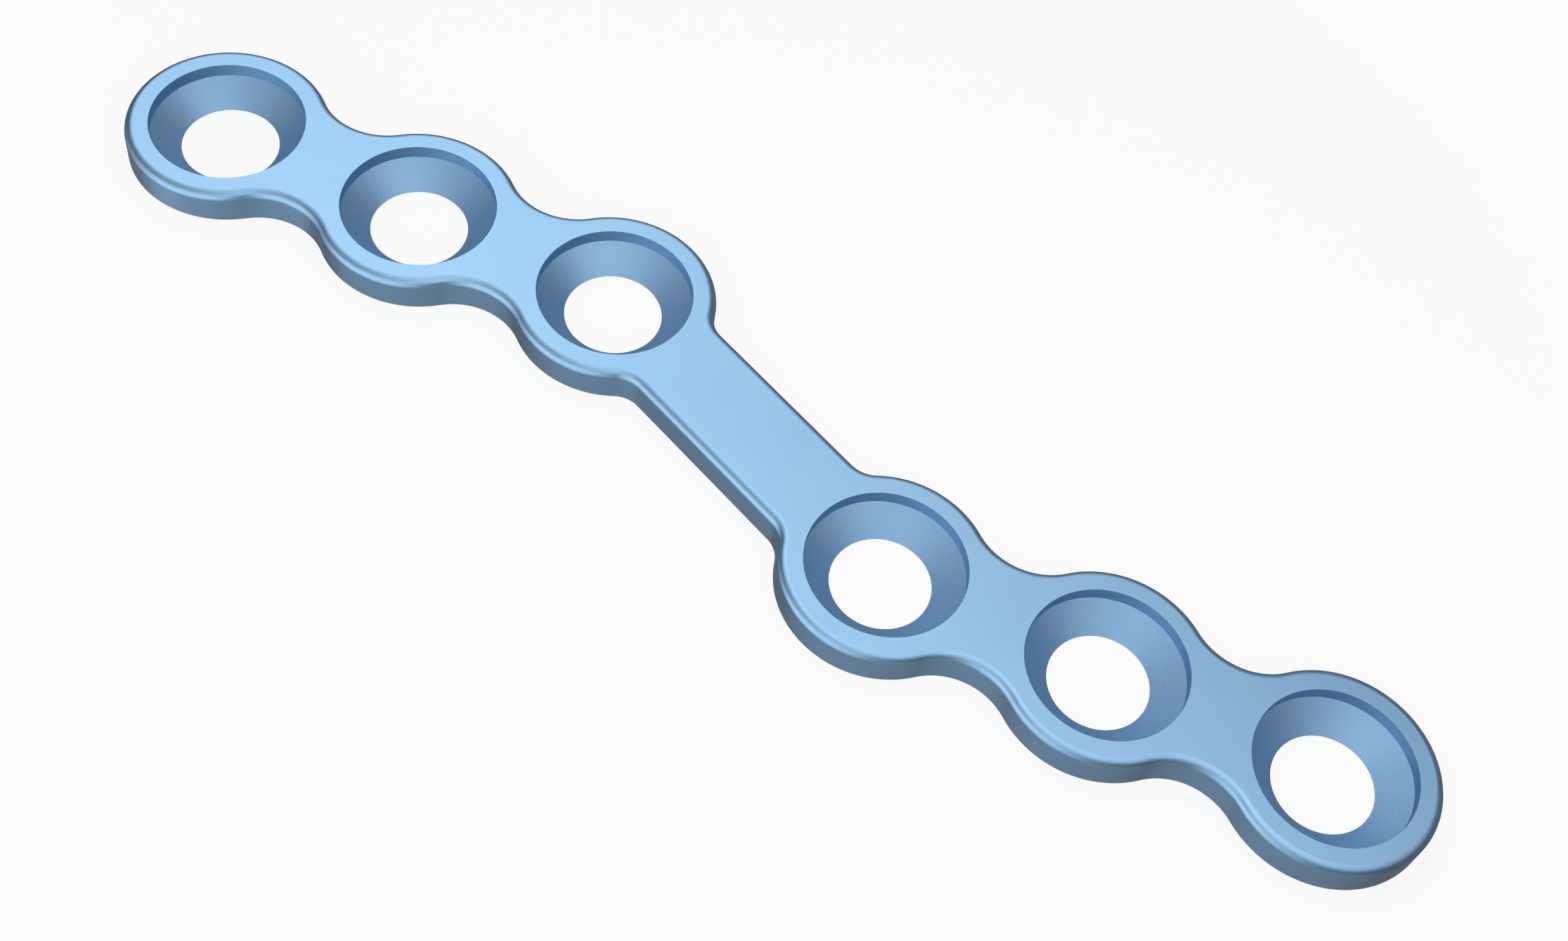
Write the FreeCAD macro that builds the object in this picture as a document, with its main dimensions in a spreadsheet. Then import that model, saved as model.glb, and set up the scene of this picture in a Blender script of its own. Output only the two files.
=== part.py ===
import FreeCAD, Part
import math
import os
import types
import Sketcher

# Bone plate: one flat strip of titanium with a scalloped edge.
# Its screw holes lie in two parallel rows, set off sideways and joined by a slanting bar,
# so the outline bends twice in its own plane while the plate itself stays flat.
# X runs along the rows, Y across them, and Z from the bone side up to the screw heads.
# The origin is the middle of the bone side. Half a turn about Z brings the plate onto itself.

# Driving sizes in millimetres, apart from the count of holes.
SIZES = {
    "plate_thickness": 1.0,
    "holes_per_row": 3,
    # from one screw hole to the next in a row
    "hole_pitch": 6.1,
    # along X, from the innermost hole of one row to the innermost hole of the other
    "centre_span": 10.0,
    # across, from row to row
    "row_offset": 4.4,
    # least opening of a screw hole, at the bone side
    "hole_diameter": 2.7,
    # straight-walled recess for the screw's head
    "recess_diameter": 4.3,
    "recess_depth": 0.4,
    # metal left around each recess
    "rim_width": 0.65,
    # waist between neighbouring rings
    "neck_width": 3.3,
    # bar between the rows, and the rounding where it runs into a ring
    "bar_width": 2.9,
    "bar_fillet": 0.8,
    # rounding along the whole upper edge
    "edge_fillet": 0.25,
}

# The screw's seat is a cone from the foot of the recess down to the least opening.
SEAT_ANGLE = (
    "2 * atan((Sizes.recess_diameter - Sizes.hole_diameter) / 2"
    " / (Sizes.plate_thickness - Sizes.recess_depth))"
)
RING_DIAMETER = "Sizes.recess_diameter + 2 * Sizes.rim_width"

# How a sketch numbers the places on a line or an arc, and its own origin.
EDGE, START, END, CENTRE = range(4)
ORIGIN = (-1, START)

# Each half of the plate is the other one after half a turn, in radians.
HALF_TURN = math.pi
HALVES = 2


def make_sheet(doc):
    """Each size in its own named cell."""
    sheet = doc.addObject("Spreadsheet::Sheet", "Sizes")
    for row, (alias, value) in enumerate(SIZES.items(), start=1):
        sheet.set(f"A{row}", alias.replace("_", " "))
        sheet.set(f"B{row}", str(value))
        sheet.setAlias(f"B{row}", alias)
    doc.recompute()
    return sheet


def form_of(sheet):
    """Radii and turns that follow from the sizes, with which the outline is first drawn.

    Two rings and the neck arc between them touch, so their centres make a triangle:
    (ring + neck)^2 = half_pitch^2 + (half_neck + neck)^2.
    A bar fillet touches the ring and the bar's side in the same way.
    """
    ring = sheet.recess_diameter / 2 + sheet.rim_width
    half_pitch = sheet.hole_pitch / 2
    half_neck = sheet.neck_width / 2
    half_bar = sheet.bar_width / 2
    neck = (half_pitch**2 + half_neck**2 - ring**2) / (2 * (ring - half_neck))
    fillet_turn = math.asin((half_bar + sheet.bar_fillet) / (ring + sheet.bar_fillet))
    return types.SimpleNamespace(
        ring=ring,
        half_pitch=half_pitch,
        half_neck=half_neck,
        half_bar=half_bar,
        neck=neck,
        neck_turn=math.atan2(half_neck + neck, half_pitch),
        fillet=sheet.bar_fillet,
        fillet_turn=fillet_turn,
        bar_angle=-math.atan2(sheet.row_offset, sheet.centre_span),
    )


def row_centres(sheet):
    """Where the screw holes of the left row lie, from the bar outwards."""
    innermost = FreeCAD.Vector(-sheet.centre_span / 2, sheet.row_offset / 2, 0)
    step = FreeCAD.Vector(-sheet.hole_pitch, 0, 0)
    return [innermost + step * number for number in range(int(sheet.holes_per_row))]


def origin_feature(body, role):
    """The body's own plane or axis that has this role."""
    return next(f for f in body.Origin.OriginFeatures if f.Role == role)


def new_sketch(body, name):
    """An empty sketch on the plane of the bone side."""
    sketch = body.newObject("Sketcher::SketchObject", name)
    sketch.AttachmentSupport = [(origin_feature(body, "XY_Plane"), "")]
    sketch.MapMode = "FlatFace"
    return sketch


def add_arc(sketch, centre, radius, first, last):
    """An arc that runs anticlockwise from the first angle to the last."""
    circle = Part.Circle(centre, FreeCAD.Vector(0, 0, 1), radius)
    return sketch.addGeometry(Part.ArcOfCircle(circle, first, last), False)


def relate(sketch, kind, *places):
    """A relation that has no size, such as Tangent or Equal."""
    sketch.addConstraint(Sketcher.Constraint(kind, *places))


def dimension(sketch, name, kind, places, formula):
    """A named size of the sketch that follows the sheet."""
    value = float(sketch.evalExpression(formula))
    index = sketch.addConstraint(Sketcher.Constraint(kind, *places, value))
    sketch.renameConstraint(index, name)
    sketch.setExpression(f"Constraints.{name}", formula)


def hold_row(sketch, centres):
    """Fix a row's centres: the innermost from the origin, and each further one by the pitch."""
    dimension(sketch, "HalfSpan", "DistanceX", (*centres[0], *ORIGIN), "Sizes.centre_span / 2")
    dimension(sketch, "HalfOffset", "DistanceY", (*ORIGIN, *centres[0]), "Sizes.row_offset / 2")
    for number, (inner, outer) in enumerate(zip(centres, centres[1:]), start=1):
        dimension(sketch, f"Pitch{number}", "DistanceX", (*outer, *inner), "Sizes.hole_pitch")
        relate(sketch, "Horizontal", *inner, *outer)


def draw_neck(sketch, centre, form):
    """The two arcs that narrow the plate just beyond a ring, above and below the row's line."""
    middle = centre - FreeCAD.Vector(form.half_pitch, 0, 0)
    rise = FreeCAD.Vector(0, form.half_neck + form.neck, 0)
    turn = form.neck_turn
    above = add_arc(sketch, middle + rise, form.neck, HALF_TURN + turn, 2 * HALF_TURN - turn)
    below = add_arc(sketch, middle - rise, form.neck, turn, HALF_TURN - turn)
    return above, below


def draw_row(sketch, centres, form):
    """Rings and necks, walked anticlockwise: out from the bar along the upper side and back below.

    The last ring is one arc and each other ring is two. Returns the walk as (arc, point where it is
    entered, point where it is left), the arcs of each ring, and the two arcs of each neck.
    """
    out = []
    back = []
    rings = []
    necks = []
    first = form.bar_angle + form.fillet_turn
    last = form.bar_angle - form.fillet_turn
    for centre in centres[:-1]:
        above = add_arc(sketch, centre, form.ring, first, HALF_TURN - form.neck_turn)
        below = add_arc(sketch, centre, form.ring, HALF_TURN + form.neck_turn, last + 2 * HALF_TURN)
        neck_above, neck_below = draw_neck(sketch, centre, form)
        rings.append([above, below])
        necks.append([neck_above, neck_below])
        out += [(above, START, END), (neck_above, END, START)]
        back = [(neck_below, END, START), (below, START, END)] + back
        first = form.neck_turn
        last = -form.neck_turn
    end = add_arc(sketch, centres[-1], form.ring, first, last + 2 * HALF_TURN)
    rings.append([end])
    return out + [(end, START, END)] + back, rings, necks


def draw_bar_side(sketch, centre, form, side):
    """One side of the half bar, drawn from its fillet to the middle, and the fillet itself.

    side is 1 above the bar's middle line and -1 below it.
    """
    along = FreeCAD.Vector(math.cos(form.bar_angle), math.sin(form.bar_angle), 0)
    across = FreeCAD.Vector(-along.y, along.x, 0) * side
    reach = (form.ring + form.fillet) * math.cos(form.fillet_turn)
    foot = centre + along * reach + across * form.half_bar
    line = sketch.addGeometry(Part.LineSegment(foot, across * form.half_bar), False)
    at_line = form.bar_angle - side * HALF_TURN / 2
    at_ring = form.bar_angle + side * (form.fillet_turn - HALF_TURN)
    middle = foot + across * form.fillet
    fillet = add_arc(sketch, middle, form.fillet, min(at_line, at_ring), max(at_line, at_ring))
    return line, fillet


def hold_rings(sketch, rings, necks):
    """All rings are alike and all necks are alike, and the first waist sets the necks' radius."""
    for ring in rings:
        for arc in ring[1:]:
            relate(sketch, "Coincident", ring[0], CENTRE, arc, CENTRE)
    arcs = [arc for ring in rings for arc in ring]
    for arc in arcs[1:]:
        relate(sketch, "Equal", arcs[0], arc)
    dimension(sketch, "RingDiameter", "Diameter", (arcs[0],), RING_DIAMETER)
    arcs = [arc for neck in necks for arc in neck]
    for arc in arcs[1:]:
        relate(sketch, "Equal", arcs[0], arc)


def hold_waist(sketch, centre, neck, form):
    """A guide line across the first neck, through both arcs' centres, as long as the neck is wide."""
    above, below = neck
    middle = centre - FreeCAD.Vector(form.half_pitch, 0, 0)
    half = FreeCAD.Vector(0, form.half_neck, 0)
    waist = sketch.addGeometry(Part.LineSegment(middle - half, middle + half), True)
    relate(sketch, "Vertical", waist)
    relate(sketch, "PointOnObject", waist, START, below)
    relate(sketch, "PointOnObject", waist, END, above)
    relate(sketch, "PointOnObject", above, CENTRE, waist)
    dimension(sketch, "NeckWidth", "Distance", (waist,), "Sizes.neck_width")


def hold_bar(sketch, ring_centre, centre, lines, fillets, form):
    """The bar runs from the innermost hole to the origin, where this half ends square across it."""
    across = FreeCAD.Vector(-math.sin(form.bar_angle), math.cos(form.bar_angle), 0) * form.half_bar
    axis = sketch.addGeometry(Part.LineSegment(centre, FreeCAD.Vector(0, 0, 0)), True)
    cut = sketch.addGeometry(Part.LineSegment(-across, across), False)
    relate(sketch, "Coincident", axis, START, *ring_centre)
    relate(sketch, "Coincident", axis, END, *ORIGIN)
    relate(sketch, "Coincident", lines[1], END, cut, START)
    relate(sketch, "Coincident", cut, END, lines[0], END)
    relate(sketch, "Symmetric", cut, START, cut, END, *ORIGIN)
    relate(sketch, "Perpendicular", cut, axis)
    relate(sketch, "Parallel", lines[0], axis)
    relate(sketch, "Parallel", lines[1], axis)
    relate(sketch, "Equal", *fillets)
    dimension(sketch, "BarWidth", "Distance", (cut,), "Sizes.bar_width")
    dimension(sketch, "BarFillet", "Radius", (fillets[0],), "Sizes.bar_fillet")


def draw_half_outline(body, sheet):
    """One row of rings with its half of the bar, every arc running smoothly into the next."""
    sketch = new_sketch(body, "HalfOutline")
    form = form_of(sheet)
    centres = row_centres(sheet)
    upper, upper_fillet = draw_bar_side(sketch, centres[0], form, 1)
    walk, rings, necks = draw_row(sketch, centres, form)
    lower, lower_fillet = draw_bar_side(sketch, centres[0], form, -1)
    walk = [(upper, END, START), (upper_fillet, END, START)] + walk
    walk += [(lower_fillet, END, START), (lower, START, END)]
    for (edge, _, leave), (following, enter, _) in zip(walk, walk[1:]):
        relate(sketch, "Tangent", edge, leave, following, enter)
    ring_centres = [(ring[0], CENTRE) for ring in rings]
    hold_rings(sketch, rings, necks)
    if necks:
        hold_waist(sketch, centres[0], necks[0], form)
    hold_bar(sketch, ring_centres[0], centres[0], (upper, lower), (upper_fillet, lower_fillet), form)
    hold_row(sketch, ring_centres)
    return sketch


def draw_hole_row(body, sheet):
    """One circle for each screw hole of a row, on the screw side."""
    sketch = new_sketch(body, "HoleRow")
    sketch.setExpression(".AttachmentOffset.Base.z", "Sizes.plate_thickness")
    up = FreeCAD.Vector(0, 0, 1)
    radius = sheet.hole_diameter / 2
    circles = [
        sketch.addGeometry(Part.Circle(centre, up, radius), False)
        for centre in row_centres(sheet)
    ]
    for circle in circles[1:]:
        relate(sketch, "Equal", circles[0], circle)
    dimension(sketch, "HoleDiameter", "Diameter", (circles[0],), "Sizes.hole_diameter")
    hold_row(sketch, [(circle, CENTRE) for circle in circles])
    return sketch


def add_other_half(body, name, feature):
    """The same feature again after half a turn about Z."""
    pattern = body.newObject("PartDesign::PolarPattern", name)
    pattern.Originals = [feature]
    pattern.Axis = (origin_feature(body, "Z_Axis"), [""])
    pattern.Angle = math.degrees(2 * HALF_TURN)
    pattern.Occurrences = HALVES
    body.Tip = pattern
    return pattern


def upper_edges(shape):
    """Names of the edges round the topmost face, before any hole is cut in it."""
    top = max(shape.Faces, key=lambda face: face.CenterOfMass.z)
    return [
        f"Edge{number}"
        for number, edge in enumerate(shape.Edges, start=1)
        if any(edge.isSame(other) for other in top.OuterWire.Edges)
    ]


def round_upper_edge(body, blank):
    """Round the whole outline where the side walls meet the screw side."""
    fillet = body.newObject("PartDesign::Fillet", "UpperEdge")
    fillet.Base = (blank, upper_edges(blank.Shape))
    fillet.setExpression("Radius", "Sizes.edge_fillet")
    body.Tip = fillet


def cut_screw_holes(body, sketch):
    """Through holes with a straight recess and, below it, the cone on which the screw's head sits."""
    hole = body.newObject("PartDesign::Hole", "ScrewHoles")
    hole.Profile = sketch
    hole.DepthType = "ThroughAll"
    hole.setExpression("Diameter", "Sizes.hole_diameter")
    hole.HoleCutType = "Counterdrill"
    hole.HoleCutCustomValues = True
    hole.setExpression("HoleCutDiameter", "Sizes.recess_diameter")
    hole.setExpression("HoleCutDepth", "Sizes.recess_depth")
    hole.setExpression("HoleCutCountersinkAngle", SEAT_ANGLE)
    body.Tip = hole
    return hole


def recompute(doc):
    """Bring the document up to date and stop at any object that failed."""
    doc.recompute()
    for item in doc.Objects:
        if "Invalid" in item.State or "Error" in item.State:
            raise RuntimeError(f"{item.Name} failed: {item.State}")


def check_solid(shape, name):
    """A sub-part is one sound, closed solid."""
    if shape.isNull() or not shape.isValid() or len(shape.Solids) != 1:
        raise RuntimeError(f"{name} is not one valid solid")


def make_bone_plate(doc, sheet):
    """The plate: half outline raised and turned, upper edge rounded, screw holes cut and turned."""
    body = doc.addObject("PartDesign::Body", "BonePlate")
    body.Label = "bone_plate"
    outline = draw_half_outline(body, sheet)
    pad = body.newObject("PartDesign::Pad", "HalfPlate")
    pad.Profile = outline
    pad.setExpression("Length", "Sizes.plate_thickness")
    blank = add_other_half(body, "WholePlate", pad)
    recompute(doc)
    round_upper_edge(body, blank)
    recompute(doc)
    solid_volume = body.Shape.Volume
    holes = cut_screw_holes(body, draw_hole_row(body, sheet))
    recompute(doc)
    row_volume = body.Shape.Volume
    add_other_half(body, "AllScrewHoles", holes)
    recompute(doc)
    if not solid_volume > row_volume > body.Shape.Volume:
        raise RuntimeError("the screw holes removed no metal")
    return body


def main():
    doc = FreeCAD.newDocument("BonePlate")
    sheet = make_sheet(doc)
    plate = make_bone_plate(doc, sheet)
    check_solid(plate.Shape, plate.Label)
    os.makedirs("parts", exist_ok=True)
    plate.Shape.exportStep(f"parts/{plate.Label}.step")
    box = plate.Shape.optimalBoundingBox()
    print(f"{plate.Label}: {box.XLength:.3f} x {box.YLength:.3f} x {box.ZLength:.3f} mm")
    print(f"volume {plate.Shape.Volume:.4f} mm3, {len(plate.Shape.Faces)} faces")


main()
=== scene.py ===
# %% [markdown]
# # A small bone plate in blue titanium
#
# A surgeon lays this plate across a broken bone of the hand or the foot and drives a screw through
# each of its six holes. It is one flat strip of metal, 40 mm long, 10 mm wide and 1 mm thick. Two
# rows of three rings stand a little to either side of each other, and a slanting bar joins them.
# Such a plate is commonly cut from titanium, its edges are softened, and it is anodised, which gives
# it a blue that no paint has. How this very one was finished is a guess from its look.
#
# This lesson builds the visible surface of that plate, its metal, and a small light studio round it.

# %% [markdown]
# ## The frame
#
# The plate's measured solid was made in a CAD program and packed. The origin is the middle of the
# plate's underside, X runs along the rows and Z points up to the screws. The CAD solid is kept in
# the scene, hidden.

# %% Load the imported plate
import math

import bpy
import numpy as np
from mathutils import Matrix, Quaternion, Vector


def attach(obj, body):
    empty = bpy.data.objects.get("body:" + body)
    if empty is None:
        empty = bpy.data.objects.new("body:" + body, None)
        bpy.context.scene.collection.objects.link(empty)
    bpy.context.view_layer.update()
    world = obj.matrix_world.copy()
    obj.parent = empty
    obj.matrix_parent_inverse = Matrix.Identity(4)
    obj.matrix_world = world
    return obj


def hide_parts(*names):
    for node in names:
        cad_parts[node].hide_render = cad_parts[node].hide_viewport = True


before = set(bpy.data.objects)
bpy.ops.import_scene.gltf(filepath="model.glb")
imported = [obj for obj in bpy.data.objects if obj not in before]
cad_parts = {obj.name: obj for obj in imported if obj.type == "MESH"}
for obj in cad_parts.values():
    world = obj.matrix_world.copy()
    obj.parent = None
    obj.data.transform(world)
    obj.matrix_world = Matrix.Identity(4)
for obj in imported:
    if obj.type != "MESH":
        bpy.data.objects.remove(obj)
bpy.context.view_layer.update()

# %% [markdown]
# ## The plate's sizes
#
# These are the lengths that a drawing of the plate would carry. A plate of this kind is described by
# its screw holes first: how far apart they are, how wide the recess for the screw's head is, and how
# much metal is left around it. The outline follows from them.

# %% Sizes from the drawing
MM = 0.001
THICKNESS = 1.0 * MM
PITCH = 6.1 * MM
CENTRE_SPAN = 10.0 * MM
ROW_OFFSET = 4.4 * MM
HOLE_RADIUS = 1.35 * MM
RECESS_RADIUS = 2.15 * MM
RECESS_DEPTH = 0.4 * MM
RING_RADIUS = RECESS_RADIUS + 0.65 * MM
HALF_NECK = 1.65 * MM
HALF_BAR = 1.45 * MM
BAR_FILLET = 0.8 * MM
EDGE_ROUNDING = 0.25 * MM

HALF_PITCH = PITCH / 2
NECK_RADIUS = (HALF_PITCH**2 + HALF_NECK**2 - RING_RADIUS**2) / (2 * (RING_RADIUS - HALF_NECK))
NECK_TURN = math.atan2(HALF_NECK + NECK_RADIUS, HALF_PITCH)
BAR_ANGLE = -math.atan2(ROW_OFFSET, CENTRE_SPAN)
BAR_TURN = math.asin((HALF_BAR + BAR_FILLET) / (RING_RADIUS + BAR_FILLET))
BAR_FOOT = (RING_RADIUS + BAR_FILLET) * math.cos(BAR_TURN)
print(f"neck arcs {NECK_RADIUS / MM:.3f} mm, bar at {math.degrees(BAR_ANGLE):.2f} degrees")

# %% [markdown]
# ## The outline, one ring at a time
#
# Seen from above, the edge is a chain of arcs, each running smoothly into the next: out round a ring,
# in round a neck. It could be drawn as one long curve and filled, but a fill makes long thin
# triangles that shade badly beside a rounding. Here each hole gets the piece of plate round it, and
# that piece is seen from the hole's own middle, like a slice of a flower. Its border is walked
# anticlockwise and each point of it knows three things: where it is, which way is outwards, and
# whether it lies on the plate's edge or on a seam shared with the next piece.

# %% Pieces of border
ARC_STEP = math.radians(2.5)


def arc(centre, radius, first, last, hollow=False):
    """Points and outward normals on an arc from one angle to another.

    A point is the centre plus the radius times (cos a, sin a). On a rounded-out arc the normal is
    (cos a, sin a), and on a hollow one it is the opposite, because the metal lies outside the circle.
    """
    count = max(2, math.ceil(abs(last - first) * max(radius, MM) / RING_RADIUS / ARC_STEP * 1.25))
    a = np.linspace(first, last, count + 1)
    ray = np.stack([np.cos(a), np.sin(a)], axis=1)
    return {"at": centre + radius * ray, "normal": -ray if hollow else ray, "edge": True}


def seam(first, last, count=10):
    """Points on a straight seam between two pieces of the plate, ends included."""
    t = np.linspace(0, 1, count + 1)[:, None]
    return {"at": (1 - t) * first + t * last, "normal": np.zeros((count + 1, 2)), "edge": False}


def turned(x, y, angle=0.0):
    """The flat vector (x, y) after a turn by the angle."""
    c, s = math.cos(angle), math.sin(angle)
    return np.array([c * x - s * y, s * x + c * y])


def neck_side(centre, side):
    """The border where a ring meets its neighbour at the side given: 1 is right and -1 is left.

    Two half necks and the seam across the waist between them. On the right the walk goes from the
    lower neck over the seam to the upper neck, and on the left the other way.
    """
    rise = HALF_NECK + NECK_RADIUS
    low, high = centre + [side * HALF_PITCH, -rise], centre + [side * HALF_PITCH, rise]
    top, right = math.pi / 2, side > 0
    if right:
        lower = arc(low, NECK_RADIUS, math.pi - NECK_TURN, top, hollow=True)
        upper = arc(high, NECK_RADIUS, -top, -math.pi + NECK_TURN, hollow=True)
        return [lower, seam(low + [0, NECK_RADIUS], high - [0, NECK_RADIUS]), upper]
    upper = arc(high, NECK_RADIUS, -NECK_TURN, -top, hollow=True)
    lower = arc(low, NECK_RADIUS, top, NECK_TURN, hollow=True)
    return [upper, seam(high - [0, NECK_RADIUS], low + [0, NECK_RADIUS]), lower]


def bar_side(centre):
    """The border where the bar leaves the innermost ring: two small fillets and a seam across the bar."""
    low = centre + turned(BAR_FOOT, -HALF_BAR - BAR_FILLET, BAR_ANGLE)
    high = centre + turned(BAR_FOOT, HALF_BAR + BAR_FILLET, BAR_ANGLE)
    square = math.pi / 2
    lower = arc(low, BAR_FILLET, BAR_ANGLE + math.pi - BAR_TURN, BAR_ANGLE + square, hollow=True)
    upper = arc(high, BAR_FILLET, BAR_ANGLE - square, BAR_ANGLE - math.pi + BAR_TURN, hollow=True)
    across = turned(0, BAR_FILLET, BAR_ANGLE)
    return [lower, seam(low + across, high - across), upper]


def border_of(centre, right, left):
    """The closed border of one hole's piece of plate, starting below its right-hand side.

    right is "bar" or "neck", and left is "neck" or "end".
    """
    on_right = bar_side(centre) if right == "bar" else neck_side(centre, 1)
    first = BAR_ANGLE + BAR_TURN if right == "bar" else NECK_TURN
    last = 2 * math.pi + (BAR_ANGLE - BAR_TURN if right == "bar" else -NECK_TURN)
    if left == "end":
        return on_right + [arc(centre, RING_RADIUS, first, last)]
    above = arc(centre, RING_RADIUS, first, math.pi - NECK_TURN)
    below = arc(centre, RING_RADIUS, math.pi + NECK_TURN, last)
    return on_right + [above] + neck_side(centre, -1) + [below]


row = [np.array([-CENTRE_SPAN / 2 - n * PITCH, ROW_OFFSET / 2]) for n in range(3)]
sides = [("bar", "neck"), ("neck", "neck"), ("neck", "end")]
borders = [border_of(centre, *side) for centre, side in zip(row, sides)]
print("points round each hole's piece:", [sum(len(p["at"]) for p in b) for b in borders])

# %% [markdown]
# ## The section across the metal
#
# Walk across the plate from a hole to its edge and the section is always the same: along the
# underside, up the outer wall, over a quarter-round of 0.25 mm, back along the top, down the straight
# wall of the recess, and down the cone on which the screw's head sits. Carrying that section round
# the border gives the whole piece as a few grids of points. The quarter-round matters most to the
# eye. It is where the light runs along the plate as two thin lines, so it gets many narrow faces, and
# every face corner gets the normal that its formula gives, so that no facet shows.

# %% Grids of points and normals
ROUNDING_STEPS = 12


def patch(at, normal, seat=0.0):
    """One grid of the surface: positions and unit normals, both of shape (rows, columns, 3).

    seat is 1 on the faces inside a screw's recess and 0 elsewhere.
    """
    return {"at": at, "normal": normal / np.linalg.norm(normal, axis=2, keepdims=True), "seat": seat}


def spread(flat, z):
    """Flat points of shape (n, 2) with a height, as (n, 3)."""
    return np.column_stack([flat, np.full(len(flat), z)])


def edge_patch(piece):
    """The outer wall and the rounding above it, carried along one piece of the border.

    With t from 0 to 90 degrees, the rounding leaves the border by r (1 - cos t) inwards at the height
    h - r + r sin t, and its normal is cos t outwards and sin t up. The wall is the same with t = 0.
    """
    t = np.linspace(0, math.pi / 2, ROUNDING_STEPS + 1)
    t = np.concatenate([[0, 0, 0], t])
    z = THICKNESS - EDGE_ROUNDING + EDGE_ROUNDING * np.sin(t)
    z[:3] = np.linspace(0, THICKNESS - EDGE_ROUNDING, 4)[:3]
    inwards = EDGE_ROUNDING * (1 - np.cos(t))
    flat = piece["at"][:, None, :] - piece["normal"][:, None, :] * inwards[None, :, None]
    at = np.concatenate([flat, np.broadcast_to(z[None, :, None], flat.shape[:2] + (1,))], axis=2)
    level = piece["normal"][:, None, :] * np.cos(t)[None, :, None]
    up = np.broadcast_to(np.sin(t)[None, :, None], flat.shape[:2] + (1,))
    return patch(at, np.concatenate([level, up], axis=2))


def top_line(piece):
    """The border as it is on the top face, a rounding's radius inside the edge."""
    return piece["at"] - piece["normal"] * EDGE_ROUNDING


def shorten(piece):
    """A seam on the top face is shorter than on the underside, by a rounding at each end."""
    if piece["edge"]:
        return piece
    first, last = piece["at"][0], piece["at"][-1]
    step = (last - first) / np.linalg.norm(last - first) * EDGE_ROUNDING
    return seam(first + step, last - step, len(piece["at"]) - 1)


def sheet(inner, outer, z, steps, up):
    """A flat face between two lines of as many points: (1 - s) inner + s outer, all at one height."""
    s = np.linspace(0, 1, steps + 1)[None, :, None]
    flat = (1 - s) * inner[:, None, :] + s * outer[:, None, :]
    at = np.concatenate([flat, np.full(flat.shape[:2] + (1,), z)], axis=2)
    normal = np.zeros_like(at)
    normal[..., 2] = up
    return patch(at, normal)


def walk(border, line):
    """One line of points right round, from the border's pieces, with no point given twice."""
    return np.concatenate([line(piece)[:-1] for piece in border])


def closed(line):
    """The same line with its first point again at its end."""
    return np.concatenate([line, line[:1]])


def hole_piece(centre, border):
    """All patches of one hole's piece of plate: edge, top, recess wall, cone and underside.

    Seen from the hole's middle, each border point has a direction u. The rims are centre + radius u.
    """
    above = closed(walk([shorten(piece) for piece in border], top_line))
    below = closed(walk(border, lambda piece: piece["at"]))
    u = above - centre
    u /= np.linalg.norm(u, axis=1, keepdims=True)
    rim, opening = centre + RECESS_RADIUS * u, centre + HOLE_RADIUS * u
    floor = THICKNESS - RECESS_DEPTH
    wall = np.stack([spread(rim, THICKNESS), spread(rim, (THICKNESS + floor) / 2), spread(rim, floor)], 1)
    s = np.linspace(0, 1, 5)[None, :, None]
    cone = (1 - s) * spread(rim, floor)[:, None, :] + s * spread(opening, 0.0)[:, None, :]
    slope = np.column_stack([-u * floor, np.full(len(u), RECESS_RADIUS - HOLE_RADIUS)])
    return [edge_patch(piece) for piece in border if piece["edge"]] + [
        sheet(rim, above, THICKNESS, 4, 1.0),
        patch(wall, np.broadcast_to(np.column_stack([-u, 0 * u[:, :1]])[:, None, :], wall.shape), seat=1.0),
        patch(cone, np.broadcast_to(slope[:, None, :], cone.shape), seat=1.0),
        sheet(opening, below, 0.0, 4, -1.0),
    ]


patches = [p for centre, border in zip(row, borders) for p in hole_piece(centre, border)]
print(len(patches), "patches on the three rings of a row")

# %% [markdown]
# ## The bar and the other row
#
# The bar is the same section carried along two straight lines, from the seam at one ring to the seam
# at the other. The plate looks the same after half a turn about its middle, as a playing card does,
# so the second row isn't built again: a half turn only changes the sign of x and y.

# %% Bar and half turn
inner = row[0] + turned(BAR_FOOT, 0, BAR_ANGLE)
along = np.linspace(0, 1, 13)[:, None] * (-2 * inner) + inner
across = turned(0, 1, BAR_ANGLE)


def bar_edge(side):
    """One long side of the bar, as a piece of border: 1 is the upper side and -1 the lower."""
    normal = np.broadcast_to(side * across, along.shape)
    return {"at": along + HALF_BAR * normal, "normal": normal, "edge": True}


def bar_face(half_width, z, up):
    """The bar's flat top or underside: the middle line plus a share of the half width across."""
    s = np.linspace(-1, 1, 11)[None, :, None] * half_width
    flat = along[:, None, :] + s * across
    at = np.concatenate([flat, np.full(flat.shape[:2] + (1,), z)], axis=2)
    normal = np.zeros_like(at)
    normal[..., 2] = up
    return patch(at, normal)


half_turn = np.array([-1.0, -1.0, 1.0])
other_row = [p | {"at": p["at"] * half_turn, "normal": p["normal"] * half_turn} for p in patches]
bar = [bar_edge(1), bar_edge(-1)]
bar_patches = [edge_patch(side) for side in bar] + [
    bar_face(HALF_BAR - EDGE_ROUNDING, THICKNESS, 1.0),
    bar_face(HALF_BAR, 0.0, -1.0),
]
patches = patches + other_row + bar_patches
print(len(patches), "patches in all")

# %% [markdown]
# ## One closed skin
#
# The grids meet point to point but each has its own copy of the shared points. Points closer than a
# tenth of a micrometre become one, so the skin is closed. A grid's rows and columns may run either
# way round, so each face is compared with its own normal and turned where it points into the metal.
# Blender then gets the finished normals corner by corner. It could work them out by itself, but it
# would blend them across the last face of each rounding and smudge the flat top beside it.

# %% Weld the grids into a mesh
WELD_DISTANCE = 0.0001 * MM


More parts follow.
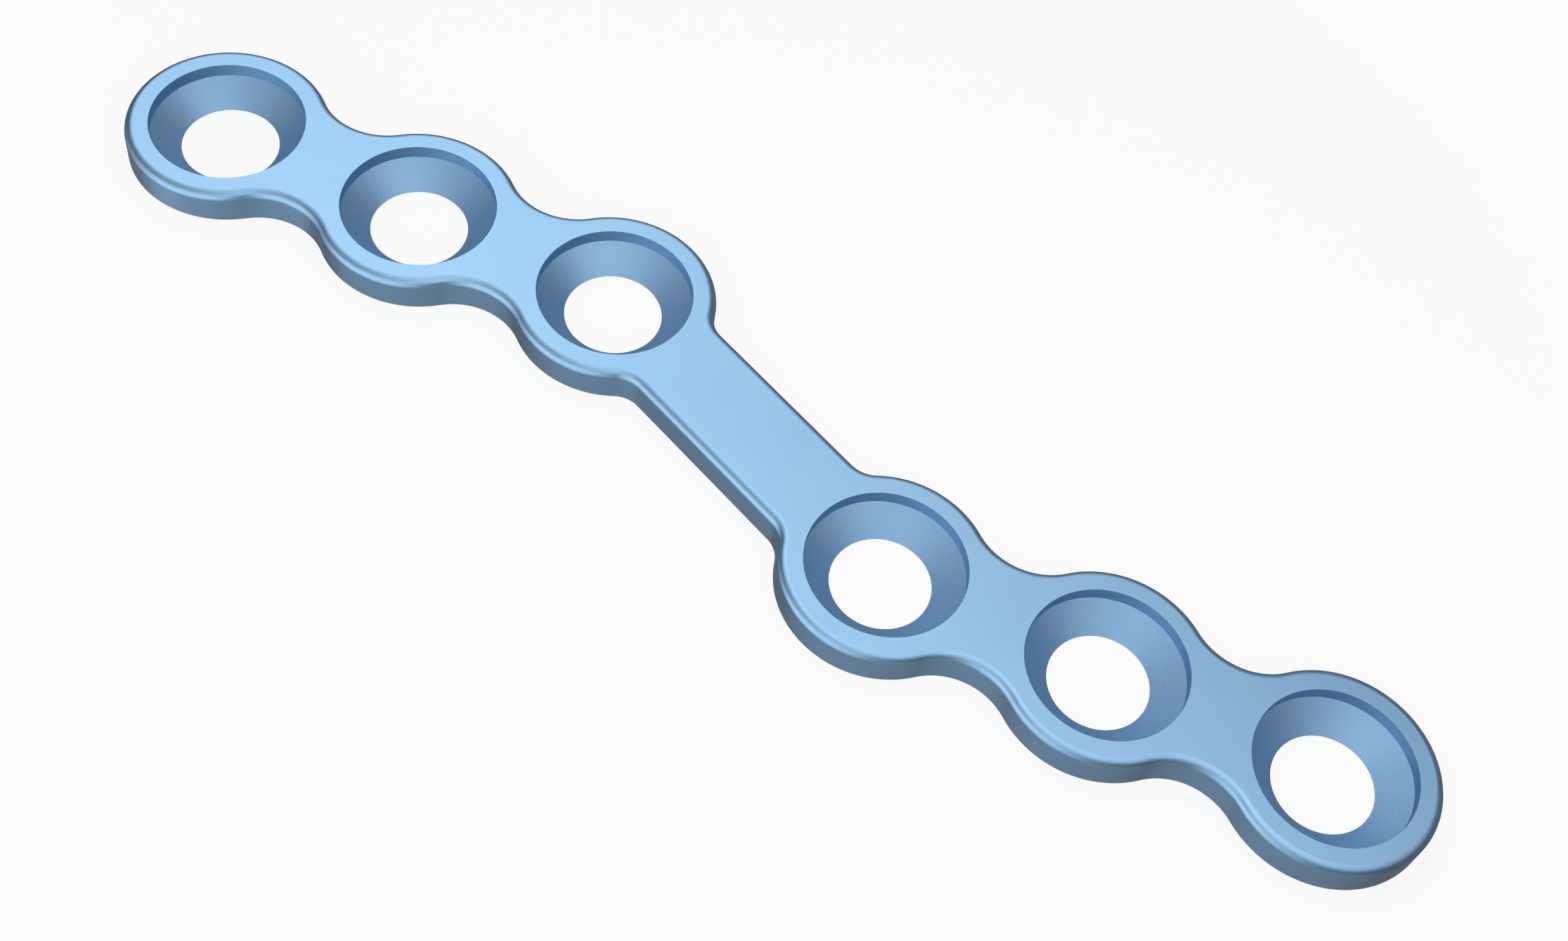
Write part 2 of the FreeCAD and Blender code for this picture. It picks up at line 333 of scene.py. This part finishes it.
def quads_of(shape, start):
    """Corner numbers of a grid's faces: (i, j), (i + 1, j), (i + 1, j + 1), (i, j + 1)."""
    number = start + np.arange(shape[0] * shape[1]).reshape(shape)
    return np.stack([number[:-1, :-1], number[1:, :-1], number[1:, 1:], number[:-1, 1:]], 2).reshape(-1, 4)


def weld(parts):
    """All grids as one set of points, faces, corner normals and seat marks, with no point twice.

    A face that looks into the metal is turned round.
    """
    points = np.concatenate([p["at"].reshape(-1, 3) for p in parts])
    normals = np.concatenate([p["normal"].reshape(-1, 3) for p in parts])
    starts = np.cumsum([0] + [p["at"].shape[0] * p["at"].shape[1] for p in parts[:-1]])
    grids = [quads_of(p["at"].shape[:2], s) for p, s in zip(parts, starts)]
    faces = np.concatenate(grids)
    seats = np.concatenate([np.full(len(grid), p["seat"]) for grid, p in zip(grids, parts)])
    corner = points[faces]
    facing = np.cross(corner[:, 2] - corner[:, 0], corner[:, 3] - corner[:, 1])
    inwards = np.einsum("ij,ij->i", facing, normals[faces].sum(axis=1)) < 0
    faces[inwards] = faces[inwards][:, ::-1]
    corner_normals = normals[faces].reshape(-1, 3)
    keys = np.round(points / WELD_DISTANCE).astype(np.int64)
    _, first, same = np.unique(keys, axis=0, return_index=True, return_inverse=True)
    return points[first], same.reshape(-1)[faces], corner_normals, seats


def skin(name, parts):
    """A mesh object at the origin from the welded grids, with the seat marks on its faces."""
    points, faces, corner_normals, seats = weld(parts)
    mesh = bpy.data.meshes.new(name)
    mesh.from_pydata(points, [], faces.tolist())
    mesh.shade_smooth()
    mesh.normals_split_custom_set(corner_normals.tolist())
    mesh.attributes.new("seat", "FLOAT", "FACE").data.foreach_set("value", seats)
    made = bpy.data.objects.new(name, mesh)
    bpy.context.scene.collection.objects.link(made)
    return made, points, faces


plate, points, faces = skin("plate", patches)
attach(plate, "root")
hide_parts("bone_plate")

edges = np.sort(np.stack([faces, np.roll(faces, -1, axis=1)], 2).reshape(-1, 2), axis=1)
_, uses = np.unique(edges, axis=0, return_counts=True)
triangles = points[np.concatenate([faces[:, [0, 1, 2]], faces[:, [0, 2, 3]]])]
volume = np.einsum("ij,ij->", triangles[:, 0], np.cross(triangles[:, 1], triangles[:, 2])) / 6
is_closed = bool((uses == 2).all())
print(len(faces), "faces; every edge has two faces:", is_closed, f"; volume {volume / MM**3:.2f} mm3")

# %% [markdown]
# ## The camera
#
# The plate is seen from the front, a little to the right, and from well above. The lens is a short
# telephoto, close to the plate, so the right-hand end comes out larger than the left. The picture's
# middle isn't quite the lens's own axis, and a small shift of the sensor takes that up.
#
# These figures weren't chosen by hand. A separate program solved them from the rims of the six holes
# in the picture. They are given as a place, a point looked at and a roll, and are rounded.

# %% Camera
CAMERA_PLACE = Vector((8.688, -29.747, 44.046)) * MM
CAMERA_AIM = Vector((1.840, 0.607, 0.0)) * MM
CAMERA_ROLL = math.radians(13.66)
SENSOR_WIDTH, FOCAL_LENGTH = 36.0, 46.105
SENSOR_SHIFT = (-0.01866, -0.0095)

camera_data = bpy.data.cameras.new("camera")
camera_data.sensor_fit = "HORIZONTAL"
camera_data.sensor_width = SENSOR_WIDTH
camera_data.lens = FOCAL_LENGTH
camera_data.shift_x, camera_data.shift_y = SENSOR_SHIFT
camera_data.clip_start = 1 * MM
camera_data.clip_end = 2.0
camera = bpy.data.objects.new("camera", camera_data)
bpy.context.scene.collection.objects.link(camera)
level_view = (CAMERA_AIM - CAMERA_PLACE).to_track_quat("-Z", "Y")
camera.location = CAMERA_PLACE
camera.rotation_euler = (level_view @ Quaternion((0, 0, 1), CAMERA_ROLL)).to_euler()
bpy.context.scene.camera = camera
print("camera", round(camera.location.length / MM, 1), "mm from the middle of the plate")

# %% [markdown]
# ## The metal
#
# Anodising grows a clear film of oxide on titanium, and the film's thickness alone makes the colour:
# the metal beneath shows through it, tinted. So this is a metal with a blue base colour, and not a
# paint. Two things keep it from looking like plastic foil. The film is never quite even, so the blue
# drifts a little over a few millimetres. And the surface is a carpet of tiny dimples, about a
# twentieth of a millimetre across, which spreads every reflection. Both are noise textures read from
# the object's own coordinates, so they stay with the metal from whichever side it is seen.
#
# The screws' recesses are made a good deal more matt than the outside. With one roughness everywhere
# the metal mirrors itself in there and turns a deeper blue than the picture shows. That finishing
# reaches less well into a recess would explain it, but that is a guess. The faces in there carry a
# mark, and the material reads it to raise the roughness and deepen the dimples. A second material
# could do the same, but then the film's drift would have to be kept alike in both.

# %% Anodised titanium
ROUGHNESS, GRAIN = 0.27, 0.003
SEAT_ROUGHNESS = 0.2
DIMPLE_HEIGHT = 0.01 * MM
DIMPLE_STRENGTH, SEAT_DIMPLE_STRENGTH = 0.05, 0.4
FILM_THIN, FILM_THICK = (0.288, 0.500, 0.742, 1.0), (0.305, 0.519, 0.760, 1.0)
NOISE_LOW, NOISE_HIGH = 0.3, 0.7
LARGER_OF = {"operation": "MAXIMUM"}
TIMES_PLUS = {"operation": "MULTIPLY_ADD"}


def nodes_of(material):
    """A material's node tree with only its shader and output, and a function that adds a wired node."""
    material.use_nodes = True
    tree = material.node_tree

    def add(kind, settings=None, **wires):
        """A node, its settings, and each named input either wired to a socket or set to a value."""
        node = tree.nodes.new(kind)
        for key, value in (settings or {}).items():
            setattr(node, key, value)
        for key, value in wires.items():
            numbered = key[1:].isdigit()
            socket = node.inputs[int(key[1:]) if numbered else key.replace("_", " ")]
            if isinstance(value, bpy.types.NodeSocket):
                tree.links.new(value, socket)
            else:
                socket.default_value = value
        return node

    return tree, add


def anodised_titanium():
    """Blue metal with an uneven oxide film and a fine grain, more matt in the recesses.

    The roughness is ROUGHNESS, give or take GRAIN, plus SEAT_ROUGHNESS times the seat mark.
    """
    material = bpy.data.materials.new("anodised_titanium")
    tree, add = nodes_of(material)
    shader = tree.nodes["Principled BSDF"]
    place = add("ShaderNodeTexCoord").outputs["Object"]
    film = add("ShaderNodeTexNoise", Vector=place, Scale=420.0, Detail=3.0, Roughness=0.5)
    speck = add("ShaderNodeTexNoise", Vector=place, Scale=9000.0, Detail=2.0, Roughness=0.6)
    tint = add("ShaderNodeValToRGB", Fac=film.outputs["Fac"])
    low, high = tint.color_ramp.elements
    low.position, low.color = NOISE_LOW, FILM_THIN
    high.position, high.color = NOISE_HIGH, FILM_THICK
    noise_range = {"From_Min": NOISE_LOW, "From_Max": NOISE_HIGH}
    rough_range = {"To_Min": ROUGHNESS - GRAIN, "To_Max": ROUGHNESS + GRAIN}
    grain = add("ShaderNodeMapRange", Value=speck.outputs["Fac"], **noise_range, **rough_range)
    dimples = add("ShaderNodeTexNoise", Vector=place, Scale=16000.0, Detail=2.0, Roughness=0.5)
    tree.links.new(tint.outputs["Color"], shader.inputs["Base Color"])
    seat = add("ShaderNodeAttribute", {"attribute_name": "seat"}).outputs["Fac"]
    rough = add("ShaderNodeMath", TIMES_PLUS, _0=seat, _1=SEAT_ROUGHNESS, _2=grain.outputs["Result"])
    depth = add("ShaderNodeMath", TIMES_PLUS, _0=seat, _1=SEAT_DIMPLE_STRENGTH, _2=DIMPLE_STRENGTH)
    height = dimples.outputs["Fac"]
    bump = add("ShaderNodeBump", Strength=depth.outputs[0], Distance=DIMPLE_HEIGHT, Height=height)
    tree.links.new(rough.outputs[0], shader.inputs["Roughness"])
    tree.links.new(bump.outputs["Normal"], shader.inputs["Normal"])
    shader.inputs["Metallic"].default_value = 1.0
    return material


plate.data.materials.append(anodised_titanium())
print("material:", [m.name for m in plate.data.materials])

# %% [markdown]
# ## Floor
#
# The plate lies on a plain pale table. In the picture the table is to look white, yet more lamp light
# would bleach the metal. So the table is matt and takes the plate's soft shadow, and to the camera it
# also glows by itself. A little way from the plate, where no shadow falls, the glow takes over and the
# table is plain white. Metal is a mirror of its surroundings, so the table matters there as well. A
# pale table all round would make the plate's side as light as its top. To a reflection the table is
# therefore a faint white veil, and the lower half of the room shows through it.

# %% Pale floor
VEIL = 0.18
GLOW = 0.86
GLOW_FROM, PLAIN_FROM = 23 * MM, 38 * MM
WHITE, MATT_WHITE = (1.0, 1.0, 1.0, 1.0), (0.95, 0.95, 0.95, 1.0)
FLOOR_RADIUS = 3.0
FLOOR_GAP = 0.01 * MM


def pale_floor():
    """A matt white that glows to the camera, and a veil of white over the room to a reflection."""
    material = bpy.data.materials.new("pale_floor")
    tree, add = nodes_of(material)
    tree.nodes.remove(tree.nodes["Principled BSDF"])
    path = add("ShaderNodeLightPath").outputs
    seen = add("ShaderNodeMath", LARGER_OF, _0=path["Is Camera Ray"], _1=path["Is Transmission Ray"])
    place = add("ShaderNodeTexCoord").outputs["Object"]
    away = add("ShaderNodeVectorMath", {"operation": "LENGTH"}, _0=place).outputs["Value"]
    reach = {"From_Min": GLOW_FROM, "From_Max": PLAIN_FROM, "To_Min": GLOW, "To_Max": 1.0}
    glow = add("ShaderNodeMapRange", {"interpolation_type": "SMOOTHSTEP"}, Value=away, **reach)
    share = add("ShaderNodeMath", {"operation": "MULTIPLY"}, _0=seen.outputs[0], _1=glow.outputs[0])
    matt = add("ShaderNodeBsdfDiffuse", Color=MATT_WHITE)
    white = add("ShaderNodeEmission", Color=WHITE, Strength=1.0)
    table = add("ShaderNodeMixShader", _0=share.outputs[0], _1=matt.outputs[0], _2=white.outputs[0])
    faint = add("ShaderNodeEmission", Color=WHITE, Strength=VEIL)
    clear = add("ShaderNodeBsdfTransparent", Color=WHITE)
    veil = add("ShaderNodeAddShader", _0=faint.outputs[0], _1=clear.outputs[0])
    mirrored = add("ShaderNodeMath", LARGER_OF, _0=path["Is Glossy Ray"], _1=path["Is Shadow Ray"])
    both = add("ShaderNodeMixShader", _0=mirrored.outputs[0], _1=table.outputs[0], _2=veil.outputs[0])
    tree.links.new(both.outputs[0], tree.nodes["Material Output"].inputs["Surface"])
    return material


turns = np.linspace(0, 2 * math.pi, 97)[:-1]
rim = FLOOR_RADIUS * np.stack([np.cos(turns), np.sin(turns)], axis=1)
floor_mesh = bpy.data.meshes.new("floor")
floor_mesh.from_pydata(spread(rim, -FLOOR_GAP), [], [list(range(len(rim)))])
floor = bpy.data.objects.new("floor", floor_mesh)
bpy.context.scene.collection.objects.link(floor)
floor.data.materials.append(pale_floor())
print("floor", 2 * FLOOR_RADIUS, "m across")

# %% [markdown]
# ## Soft light
#
# Metal shows what stands round it, so the studio is the other half of this material. The room is dim
# and eight round soft boxes stand in it, some of them no further from the plate than the plate is
# long. A near lamp is seen in another direction from each ring, so the same bright line runs along
# the whole edge and changes on the way, as it does in the picture. Where the real lamps stood isn't
# known. A real soft box is brightest in its middle, and so are these, which keeps every reflection
# free of hard borders. The walls of the room are white to the camera and dim to everything else.
#
# The figures of the boxes weren't set up by hand either. Separate programs fitted the places, sizes
# and strengths to the shading in the picture by least squares. The places and sizes are rounded to
# whole degrees and millimetres. So this is a table of numbers made by another program, and someone
# who wants a rig to copy had better start from lamps of their own.

# %% Studio
ROOM = VEIL
SOFT_BOXES = {
    "far left": (-30, 43, 252, 241, 0.98),
    "near right, above": (121, 65, 40, 65, 1.02),
    "near left, low": (-158, 8, 40, 63, 0.935),
    "left, above": (-79, 60, 71, 75, 0.65),
    "left, low": (-118, -9, 49, 45, 0.595),
    "near, at the foot": (179, -31, 56, 159, 0.215),
    "far right, above": (15, 58, 200, 110, 0.15),
    "far right, low": (30, 8, 40, 88, 0.05),
}


def soft_box(name, azimuth, elevation, distance, radius, brightness):
    """A round area lamp at a direction and a distance in mm, turned to the middle of the plate.

    The azimuth is from +Y towards +X and the elevation is above the floor, both in degrees. With d
    from 0 in the lamp's middle to 1 at its rim, the light falls off as (1 - d squared) cubed. A disc
    that is to look as bright as b needs a power of b times pi times its area.
    """
    a, e = math.radians(azimuth), math.radians(elevation)
    towards = Vector((math.sin(a) * math.cos(e), math.cos(a) * math.cos(e), math.sin(e)))
    lamp = bpy.data.lights.new(name, "AREA")
    lamp.shape, lamp.size = "DISK", 2 * radius * MM
    disc_area = math.pi * (radius * MM) ** 2
    lamp.energy = brightness * math.pi * disc_area
    tree, add = nodes_of(lamp)
    on_disc = add("ShaderNodeNewGeometry").outputs["Parametric"]
    middle = (0.5, 0.5, 0.0)
    offset = add("ShaderNodeVectorMath", {"operation": "SUBTRACT"}, _0=on_disc, _1=middle).outputs[0]
    square = add("ShaderNodeVectorMath", {"operation": "DOT_PRODUCT"}, _0=offset, _1=offset)
    clamped = TIMES_PLUS | {"use_clamp": True}
    fade = add("ShaderNodeMath", clamped, _0=square.outputs["Value"], _1=-4.0, _2=1.0)
    fade = add("ShaderNodeMath", {"operation": "POWER"}, _0=fade.outputs[0], _1=3.0)
    tree.links.new(fade.outputs[0], tree.nodes["Emission"].inputs["Strength"])
    made = bpy.data.objects.new(name, lamp)
    made.location = towards * distance * MM
    made.rotation_euler = towards.to_track_quat("Z", "Y").to_euler()
    made.visible_camera = False
    bpy.context.scene.collection.objects.link(made)
    return made


boxes = [soft_box(name, *place) for name, place in SOFT_BOXES.items()]

world = bpy.data.worlds.new("room")
bpy.context.scene.world = world
tree, add = nodes_of(world)
look = add("ShaderNodeTexCoord").outputs["Generated"]
height = add("ShaderNodeSeparateXYZ", Vector=look).outputs["Z"]
above = add("ShaderNodeMath", {"operation": "GREATER_THAN"}, _0=height, _1=0.0)
dim = add("ShaderNodeMath", {"operation": "MULTIPLY"}, _0=above.outputs[0], _1=ROOM)
path = add("ShaderNodeLightPath").outputs
seen = add("ShaderNodeMath", LARGER_OF, _0=path["Is Camera Ray"], _1=path["Is Transmission Ray"])
light = add("ShaderNodeMath", LARGER_OF, _0=seen.outputs[0], _1=dim.outputs[0])
tree.links.new(light.outputs[0], tree.nodes["Background"].inputs["Strength"])
tree.nodes["Background"].inputs["Color"].default_value = WHITE
bpy.context.scene.view_settings.view_transform = "Standard"
nearest = min(place[2] for place in SOFT_BOXES.values())
print(len(boxes), "soft boxes, the nearest", nearest, "mm from the middle")
